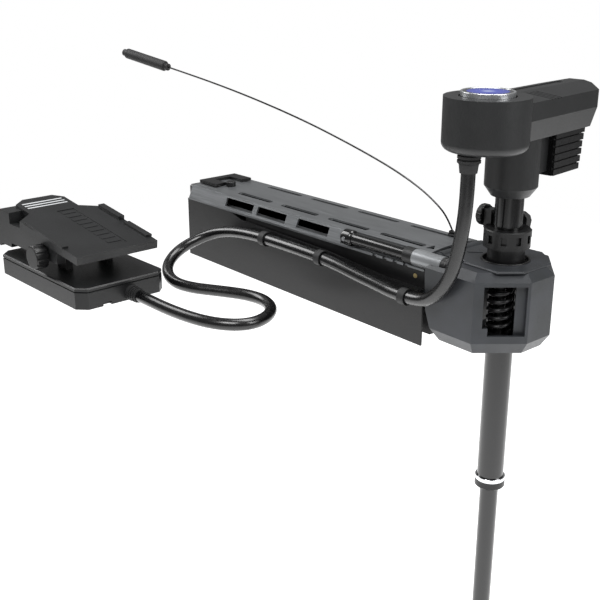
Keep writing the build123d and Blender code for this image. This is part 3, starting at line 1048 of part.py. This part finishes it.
# The cord turns on a small barrel that lies along its own plane, between two ears
BARREL_R = 2.2
SPIGOT_R = 2.0
BARREL_DROP = 3.5
BARREL_HALF = 4.5
BARREL_GAP = 0.3
EAR_GAP = 0.2
EXIT_DISC_R = 8.0
EXIT_SINK = 1.4
EAR_THICK = 1.4
EAR_WIDTH = 6.0
EAR_RISE = 2.5
cord_start = pull_path.line @ 0
cord_rise = pull_path.line % 0
barrel_centre = cord_start - cord_rise * BARREL_DROP
barrel_plane = Plane(origin=barrel_centre, x_dir=(0, 0, 1), z_dir=(CORD_WAY[0], CORD_WAY[1], 0))
with BuildPart() as cord_barrel:
    with BuildSketch(barrel_plane):
        Circle(BARREL_R)
    extrude(amount=BARREL_HALF, both=True)
    with BuildSketch(Plane(origin=cord_start, z_dir=cord_rise)):
        Circle(SPIGOT_R)
    extrude(amount=-BARREL_DROP)
finish_set("pull_handle", pull_handle, cord_barrel)
exit_foot = Vector(barrel_centre.X, barrel_centre.Y, MOUNT_TOP - EXIT_SINK)
exit_plane = Plane(origin=exit_foot, x_dir=(CORD_WAY[0], CORD_WAY[1], 0), z_dir=(0, 0, 1))
ear_height = barrel_centre.Z + EAR_RISE - exit_foot.Z
with BuildPart() as cord_exit:
    with BuildSketch(exit_plane):
        Circle(EXIT_DISC_R)
    extrude(amount=barrel_centre.Z - BARREL_R - BARREL_GAP - exit_foot.Z)
    with BuildSketch(exit_plane):
        with Locations(*[(end * (BARREL_HALF + EAR_GAP + EAR_THICK / 2), 0) for end in (-1, 1)]):
            Rectangle(EAR_THICK, EAR_WIDTH)
    extrude(amount=ear_height)
finish_set("cord_fittings", cable_clips, pedal_gland, cord_exit)
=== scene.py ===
import json
import math
import bpy
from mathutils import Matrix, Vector

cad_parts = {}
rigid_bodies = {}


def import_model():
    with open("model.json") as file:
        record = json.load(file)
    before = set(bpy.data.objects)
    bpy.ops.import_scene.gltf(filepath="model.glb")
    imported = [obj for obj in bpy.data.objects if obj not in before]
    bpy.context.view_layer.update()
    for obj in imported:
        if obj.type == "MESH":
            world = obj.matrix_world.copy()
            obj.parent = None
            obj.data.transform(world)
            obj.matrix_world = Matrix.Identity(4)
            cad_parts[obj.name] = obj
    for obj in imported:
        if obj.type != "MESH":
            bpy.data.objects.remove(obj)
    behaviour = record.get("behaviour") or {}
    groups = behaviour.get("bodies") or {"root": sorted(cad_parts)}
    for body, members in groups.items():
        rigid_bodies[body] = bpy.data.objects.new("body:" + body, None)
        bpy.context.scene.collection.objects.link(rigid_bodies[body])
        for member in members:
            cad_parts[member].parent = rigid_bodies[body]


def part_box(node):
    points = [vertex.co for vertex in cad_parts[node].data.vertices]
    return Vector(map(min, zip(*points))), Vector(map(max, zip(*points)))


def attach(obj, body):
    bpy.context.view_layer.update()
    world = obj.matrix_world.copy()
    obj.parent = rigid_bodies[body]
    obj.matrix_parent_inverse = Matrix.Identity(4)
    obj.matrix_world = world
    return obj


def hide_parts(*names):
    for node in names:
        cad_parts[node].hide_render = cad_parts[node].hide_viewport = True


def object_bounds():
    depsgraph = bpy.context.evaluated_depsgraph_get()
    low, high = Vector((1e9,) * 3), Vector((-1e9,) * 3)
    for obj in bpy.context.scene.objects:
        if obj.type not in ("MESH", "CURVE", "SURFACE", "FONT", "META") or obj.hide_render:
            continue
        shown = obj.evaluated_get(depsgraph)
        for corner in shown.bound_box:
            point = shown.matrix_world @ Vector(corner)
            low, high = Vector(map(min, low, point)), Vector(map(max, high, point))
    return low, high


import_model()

cad_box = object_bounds()

# ---- Camera and light ---------------------------------------------------------------------
CAMERA_PLACE = (1.24705, -1.14187, 0.5729)
CAMERA_TILT = 70.4
CAMERA_TURN = 48.7
LENS_MM = 60
SENSOR_MM = 36
camera_data = bpy.data.cameras.new("camera")
camera_data.lens = LENS_MM
camera_data.sensor_width = SENSOR_MM
camera_data.clip_end = 20
camera = bpy.data.objects.new("camera", camera_data)
camera.location = CAMERA_PLACE
camera.rotation_euler = (math.radians(CAMERA_TILT), 0, math.radians(CAMERA_TURN))
bpy.context.scene.collection.objects.link(camera)
bpy.context.scene.camera = camera


def softbox(name, place, target, width, height, power):
    """Rectangular studio light that looks at a place on the object."""
    data = bpy.data.lights.new(name, "AREA")
    data.shape = "RECTANGLE"
    data.size = width
    data.size_y = height
    data.energy = power
    lamp = bpy.data.objects.new(name, data)
    lamp.location = place
    lamp.rotation_euler = (Vector(target) - Vector(place)).to_track_quat("-Z", "Y").to_euler()
    bpy.context.scene.collection.objects.link(lamp)


softbox("key_softbox", (0.9, -1.9, 2.3), (0.1, -0.1, 0.0), 1.6, 1.2, 75)
softbox("bow_softbox", (2.4, 0.6, 1.4), (0.3, 0, 0.1), 1.2, 1.6, 45)
softbox("stern_softbox", (-2.0, -0.8, 1.6), (0, -0.1, 0.1), 1.2, 1.4, 35)
softbox("top_softbox", (0.1, 0.5, 2.4), (0.1, 0, 0.1), 2.0, 1.0, 50)

world = bpy.data.worlds.new("studio")
world.use_nodes = True
world.node_tree.nodes["Background"].inputs["Color"].default_value = (1.0, 1.0, 1.0, 1.0)
# White to look at, and dimmer as a light, so that black plastic keeps its depth
ray = world.node_tree.nodes.new("ShaderNodeLightPath")
sky = world.node_tree.nodes.new("ShaderNodeMapRange")
sky.inputs["To Min"].default_value = 0.22
sky.inputs["To Max"].default_value = 1.0
world.node_tree.links.new(ray.outputs["Is Camera Ray"], sky.inputs["Value"])
world.node_tree.links.new(sky.outputs["Result"], world.node_tree.nodes["Background"].inputs["Strength"])
bpy.context.scene.world = world
bpy.context.scene.view_settings.view_transform = "Standard"


def deselect():
    """Leave nothing selected, the CAD nodes included."""
    for item in bpy.context.view_layer.objects:
        item.select_set(False)


def linear(code):
    """Linear colour of an sRGB hex value."""
    values = [int(code[i:i + 2], 16) / 255 for i in (0, 2, 4)]
    return tuple(v / 12.92 if v <= 0.04045 else ((v + 0.055) / 1.055) ** 2.4 for v in values) + (1.0,)


def add_node(tree, kind, settings=None, inputs=None, links=None):
    """Add one node with its settings, its values and the sockets that feed it."""
    node = tree.nodes.new(kind)
    for name, value in (settings or {}).items():
        setattr(node, name, value)
    for name, value in (inputs or {}).items():
        node.inputs[name].default_value = value
    for name, socket in (links or {}).items():
        tree.links.new(socket, node.inputs[name])
    return node


def new_finish(name, **constants):
    """Empty material with its shader; constants are the shader's own sockets."""
    material = bpy.data.materials.new(name)
    material.use_nodes = True
    tree = material.node_tree
    tree.nodes.clear()
    shader = add_node(tree, "ShaderNodeBsdfPrincipled")
    add_node(tree, "ShaderNodeOutputMaterial", links={"Surface": shader.outputs["BSDF"]})
    for socket, value in constants.items():
        shader.inputs[socket.replace("_", " ")].default_value = value
    return material, tree, shader


def grained(name, dark, light, grain_mm, rough_low, rough_high, bump, patch_mm=60, **constants):
    """Moulded or coated surface: fine grain in the bump and roughness, slow patches in the colour."""
    material, tree, shader = new_finish(name, **constants)
    where = add_node(tree, "ShaderNodeTexCoord").outputs["Object"]
    grain = add_node(tree, "ShaderNodeTexNoise", inputs={"Scale": 1000 / grain_mm, "Detail": 3.0},
                     links={"Vector": where})
    patch = add_node(tree, "ShaderNodeTexNoise", inputs={"Scale": 1000 / patch_mm, "Detail": 2.0},
                     links={"Vector": where})
    ramp = add_node(tree, "ShaderNodeValToRGB", links={"Fac": patch.outputs["Fac"]})
    ramp.color_ramp.elements[0].position = 0.35
    ramp.color_ramp.elements[0].color = linear(dark)
    ramp.color_ramp.elements[1].position = 0.65
    ramp.color_ramp.elements[1].color = linear(light)
    gloss = add_node(tree, "ShaderNodeMapRange",
                     inputs={"From Min": 0.3, "From Max": 0.7, "To Min": rough_low, "To Max": rough_high},
                     links={"Value": grain.outputs["Fac"]})
    relief = add_node(tree, "ShaderNodeBump", inputs={"Strength": bump, "Distance": 0.0004},
                      links={"Height": grain.outputs["Fac"]})
    tree.links.new(ramp.outputs["Color"], shader.inputs["Base Color"])
    tree.links.new(gloss.outputs["Result"], shader.inputs["Roughness"])
    tree.links.new(relief.outputs["Normal"], shader.inputs["Normal"])
    return material


def brushed(name, dark, light, stretch, line_mm, rough_low, rough_high, bump, **constants):
    """Metal with fine lines along one direction; stretch is the pattern's scale on each axis."""
    material, tree, shader = new_finish(name, **constants)
    where = add_node(tree, "ShaderNodeTexCoord").outputs["Object"]
    along = add_node(tree, "ShaderNodeMapping", inputs={"Scale": stretch}, links={"Vector": where})
    lines = add_node(tree, "ShaderNodeTexNoise", inputs={"Scale": 1000 / line_mm, "Detail": 4.0},
                     links={"Vector": along.outputs["Vector"]})
    ramp = add_node(tree, "ShaderNodeValToRGB", links={"Fac": lines.outputs["Fac"]})
    ramp.color_ramp.elements[0].position = 0.3
    ramp.color_ramp.elements[0].color = linear(dark)
    ramp.color_ramp.elements[1].position = 0.7
    ramp.color_ramp.elements[1].color = linear(light)
    gloss = add_node(tree, "ShaderNodeMapRange",
                     inputs={"From Min": 0.3, "From Max": 0.7, "To Min": rough_low, "To Max": rough_high},
                     links={"Value": lines.outputs["Fac"]})
    relief = add_node(tree, "ShaderNodeBump", inputs={"Strength": bump, "Distance": 0.0002},
                      links={"Height": lines.outputs["Fac"]})
    tree.links.new(ramp.outputs["Color"], shader.inputs["Base Color"])
    tree.links.new(gloss.outputs["Result"], shader.inputs["Roughness"])
    tree.links.new(relief.outputs["Normal"], shader.inputs["Normal"])
    return material


# Extruded rail, anodised: pale satin grey with faint draw lines along its length
anodised_rail = brushed("anodised_rail", "6e7072", "838587", (0.03, 1, 1), 2.0, 0.30, 0.42, 0.15,
                        Metallic=0.75)
# Gas strut's sleeve: painted satin silver
strut_paint = grained("strut_silver_paint", "7c7e80", "87898b", 2.0, 0.28, 0.36, 0.05, Metallic=0.5)
# Die-cast nose under grey powder coat: a fine orange peel that softens the light
powder_coat = grained("nose_powder_coat", "2c2e30", "34363a", 1.6, 0.32, 0.44, 0.18, Metallic=0.25)
# Side skirts, moulded black nylon: a low sheen with a fine spark-eroded grain
moulded_nylon = grained("moulded_black_nylon", "040405", "080809", 1.2, 0.34, 0.48, 0.25)
# Head and pedal, moulded charcoal ABS: a fine leather-like texture
charcoal_abs = grained("charcoal_abs", "0c0d0e", "131415", 1.4, 0.34, 0.48, 0.30)
# Deck and base of the pedal, a darker mix of the same plastic
dark_abs = grained("dark_abs", "070708", "0c0d0e", 1.4, 0.32, 0.46, 0.30)
# Cable jacket, PVC: smooth and glossy with slow unevenness
cable_jacket = grained("pvc_cable_jacket", "050506", "0a0a0b", 9.0, 0.22, 0.32, 0.05, Coat_Weight=0.2,
                       Coat_Roughness=0.15)
# Glands, feet, handle: dull black rubber
black_rubber = grained("black_rubber", "0c0c0d", "121213", 2.2, 0.55, 0.70, 0.20)
# Shaft tube: composite with a black satin skin that shows fine lines round it
shaft_skin = brushed("black_shaft_skin", "020203", "050506", (1, 1, 0.04), 3.0, 0.12, 0.22, 0.08,
                     Coat_Weight=0.3, Coat_Roughness=0.2)
# Motor pod and heat block: cast aluminium, painted black
cast_paint = grained("black_cast_paint", "050506", "09090a", 2.6, 0.26, 0.38, 0.22, Metallic=0.2)
# Frame, springs and posts: black zinc and paint
black_steel = grained("black_steel", "141415", "1b1b1c", 1.8, 0.26, 0.38, 0.08, Metallic=0.6)
# Pins, gears, rotor: ground steel
ground_steel = brushed("ground_steel", "8f9193", "a9abad", (1, 0.05, 1), 1.5, 0.22, 0.34, 0.10, Metallic=1.0)
# Stop ring: chrome plate
chrome_plate = grained("chrome_plate", "cfd0d2", "dcdddf", 8.0, 0.08, 0.14, 0.02, Metallic=1.0)
# Ring of the indicator: satin silver plate
silver_plate = brushed("satin_silver_plate", "b9bbbd", "cdcfd1", (1, 1, 0.05), 1.2, 0.22, 0.30, 0.05,
                       Metallic=0.9)
# Round screws at the hinge: yellow zinc
yellow_zinc = brushed("yellow_zinc", "9a8a62", "b7a577", (1, 0.1, 1), 1.0, 0.28, 0.40, 0.10, Metallic=0.9)
# Magnets: sintered ferrite
ferrite = grained("sintered_ferrite", "2b2c2d", "353637", 1.0, 0.5, 0.65, 0.25)
# Heel bars: pale translucent acetal
pale_acetal = grained("pale_acetal", "a9abac", "b9bbbc", 3.0, 0.35, 0.45, 0.06)
# Circuit board: green lacquer over copper
board_lacquer = grained("board_lacquer", "17452c", "1f5a39", 3.0, 0.25, 0.4, 0.05)

FINISHES = {
    anodised_rail: ("top_rail",),
    strut_paint: ("strut_sleeve",),
    powder_coat: ("nose_housing", "nose_lower", "hinge_cheeks", "nose_top_plate"),
    moulded_nylon: ("side_skirts", "side_panels", "rail_end_cap", "stow_rest", "rear_knob", "strut_ends",
                    "clamp_knob", "cam_lever", "depth_collar", "guide_ring", "shaft_bushings", "end_collar",
                    "inner_bushings", "momentary_button", "speed_knob", "propeller"),
    charcoal_abs: ("head_lower", "head_upper", "pedal_pad"),
    dark_abs: ("pedal_base", "pedal_deck"),
    cable_jacket: ("cable_upper", "cable_lower", "pull_cord"),
    black_rubber: ("head_gland", "cord_fittings", "pedal_rubbers", "deck_feet", "pull_handle"),
    shaft_skin: ("outer_tube", "inner_tube", "strut_tube"),
    cast_paint: ("finned_block", "motor_housing", "pod_ends"),
    black_steel: ("base_frame", "spring_posts", "breakaway_springs", "motor_bracket"),
    ground_steel: ("hinge_pins", "pedal_axle", "steering_motor", "steering_pinion", "steering_gear",
                   "motor_bearings", "motor_rotor", "propeller_fasteners"),
    chrome_plate: ("stop_ring",),
    silver_plate: ("indicator_bezel",),
    yellow_zinc: ("panel_screws",),
    ferrite: ("stator_magnets",),
    pale_acetal: ("pad_lights",),
    board_lacquer: ("control_board",),
}
for finish, nodes in FINISHES.items():
    for node in nodes:
        item = bpy.data.objects[node]
        item.data.materials.clear()
        item.data.materials.append(finish)


# ---- Cords --------------------------------------------------------------------------------
def cord_curve(name, points, radius, finish):
    """Round cord on one smooth spline; the route's control points are in millimetres, the radius in metres."""
    data = bpy.data.curves.new(name, "CURVE")
    data.dimensions = "3D"
    data.bevel_depth = radius
    data.bevel_resolution = 6
    data.resolution_u = 12
    data.use_fill_caps = True
    spline = data.splines.new("NURBS")
    spline.points.add(len(points) - 1)
    for control, place in zip(spline.points, points):
        control.co = (place[0] / 1000, place[1] / 1000, place[2] / 1000, 1)
    spline.order_u = 3
    spline.use_endpoint_u = True
    item = bpy.data.objects.new(name, data)
    bpy.context.scene.collection.objects.link(item)
    item.data.materials.append(finish)
    return item


CABLE_R = 0.010
PULL_LINE_R = 0.0015
UPPER_ROUTE = [(407.4, -105, 285), (407.4, -105, 248), (404, -105.5, 205), (395, -105, 160),
               (384, -104, 130), (367, -102.5, 106), (347, -100, 89), (324, -97, 79.5), (300, -95, 77.6)]
LOWER_ROUTE = [
    (300, -95, 77.6), (270, -92.5, 75.2), (228, -90.4, 79.5), (185, -89.2, 83), (141, -87.6, 88),
    (97, -86.1, 90.5), (50, -84.6, 91), (3, -83.1, 90.6), (-35, -81.7, 90), (-74, -80.6, 89),
    (-115, -80.4, 86), (-152, -81.5, 81), (-186, -86, 73), (-210, -101, 62), (-223, -125, 51),
    (-226, -151, 38.5), (-213, -179, 26), (-183, -200, 16.5), (-146, -207, 11.5), (-110, -197, 10.3),
    (-80, -180, 10.2), (-50, -163, 10.2), (-20, -149, 10.2), (14, -144, 10.2), (45, -152, 10.2),
    (70, -170, 10.2), (87, -195, 10.2), (93, -222, 10.2), (86, -246, 10.2), (66, -265, 10.2),
    (38, -278, 10.2), (2, -286, 10.2), (-46, -292, 11.2), (-94, -297, 15), (-122, -297, 15)]
upper_cable = cord_curve("cable_to_head", UPPER_ROUTE, CABLE_R, cable_jacket)
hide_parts("cable_upper")
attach(upper_cable, "shaft")
PULL_FOOT = (263.0, 42.0)
PULL_WAY = (-0.983, -0.184)
PULL_RISE = ((0, 148), (10, 167), (28, 184.5), (60, 206), (108, 228.5), (160, 247.6), (216, 266),
             (272, 283), (329, 298.3), (386, 312), (444, 324.8), (502, 336.3), (560, 346.8), (616.5, 356.4))
PULL_ROUTE = [(PULL_FOOT[0] + PULL_WAY[0] * reach, PULL_FOOT[1] + PULL_WAY[1] * reach, height)
              for reach, height in PULL_RISE]
pull_line = cord_curve("pull_line", PULL_ROUTE, PULL_LINE_R, cable_jacket)
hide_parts("pull_cord")
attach(pull_line, "pull")
lower_cable = cord_curve("cable_to_pedal", LOWER_ROUTE, CABLE_R, cable_jacket)
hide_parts("cable_lower")
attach(lower_cable, "mount")

# ---- Indicator dial, with its painted highlight ---------------------------------------------
# Blue printed dial under clear acrylic with a dark rim; its pale middle is a painted highlight
dial_print_and_highlight, dial_tree, dial_shader = new_finish("blue_dial_under_acrylic", Roughness=0.12, Coat_Weight=0.6,
                                                Coat_Roughness=0.05)
dial_place = add_node(dial_tree, "ShaderNodeTexCoord").outputs["Object"]
DIAL_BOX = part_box("direction_indicator")
DIAL_R = (DIAL_BOX[1][0] - DIAL_BOX[0][0]) / 2
DIAL_X = (DIAL_BOX[0][0] + DIAL_BOX[1][0]) / 2
DIAL_Y = (DIAL_BOX[0][1] + DIAL_BOX[1][1]) / 2
dial_middle = add_node(dial_tree, "ShaderNodeMapping",
                       inputs={"Scale": (1 / DIAL_R, 1 / DIAL_R, 0),
                               "Location": (-DIAL_X / DIAL_R, -DIAL_Y / DIAL_R, 0)},
                       links={"Vector": dial_place})
dial_rings = add_node(dial_tree, "ShaderNodeTexGradient", settings={"gradient_type": "SPHERICAL"},
                      links={"Vector": dial_middle.outputs["Vector"]})
dial_ramp = add_node(dial_tree, "ShaderNodeValToRGB", links={"Fac": dial_rings.outputs["Fac"]})
dial_ramp.color_ramp.elements[0].position = 0.12
dial_ramp.color_ramp.elements[0].color = linear("070b18")
# The pale stop at the middle paints the highlight on the acrylic
dial_ramp.color_ramp.elements[1].position = 0.90
dial_ramp.color_ramp.elements[1].color = linear("9aa6d8")
for place, shade in ((0.16, "1c2f9a"), (0.66, "2b3fb4")):
    dial_ramp.color_ramp.elements.new(place).color = linear(shade)
dial_tree.links.new(dial_ramp.outputs["Color"], dial_shader.inputs["Base Color"])
dial = bpy.data.objects["direction_indicator"]
dial.data.materials.clear()
dial.data.materials.append(dial_print_and_highlight)

# ---- Floor ----------------------------------------------------------------------------------
# Pale studio floor, far under the shaft
floor_finish = grained("studio_floor", "f0f0f0", "f6f6f6", 40.0, 0.7, 0.8, 0.0,
                       Emission_Color=(1.0, 1.0, 1.0, 1.0), Emission_Strength=0.75)
deselect()
FLOOR_SIZE = 8
FLOOR_GAP = 0.003
bpy.ops.mesh.primitive_plane_add(size=FLOOR_SIZE, location=(0, 0, cad_box[0][2] - FLOOR_GAP))
studio_floor = bpy.context.object
studio_floor.name = "studio_floor"
studio_floor.data.materials.append(floor_finish)
